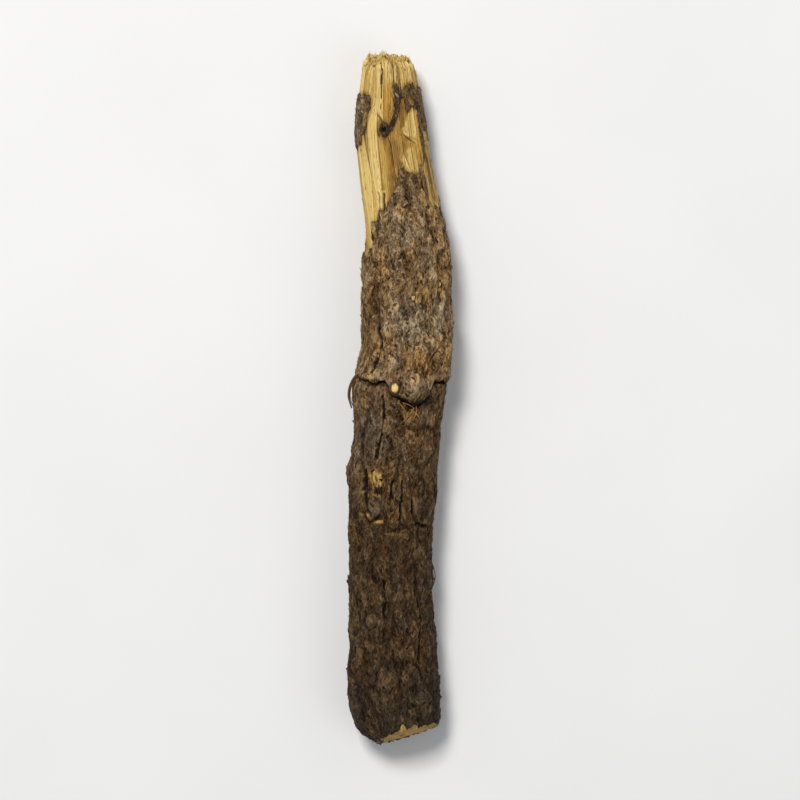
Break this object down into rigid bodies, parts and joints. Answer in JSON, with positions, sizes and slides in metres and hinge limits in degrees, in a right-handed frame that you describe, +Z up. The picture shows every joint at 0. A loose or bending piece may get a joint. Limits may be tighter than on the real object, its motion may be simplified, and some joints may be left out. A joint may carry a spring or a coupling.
{
  "type": "licorice root",
  "caption": "Dried licorice root piece, lying down: furrowed brown bark with a ring crack, bare yellow wood at its broken end, an oblique saw cut at the other.",
  "frame": {"origin": "on the surface that the root lies on, under the middle of its length and width", "axes": "+Z up, the side that the picture shows; +Y along the root towards its broken, peeled end; +X to the right in the picture"},
  "size_m": [0.0278, 0.1804, 0.0263],
  "materials": {
    "bark": "rough, furrowed, dull dark brown with rust and grey patches",
    "bare_wood": "dull, fibrous, straw yellow"
  },
  "bodies": {
    "root": {"licorice_root": "bark"}
  },
  "joints": []
}
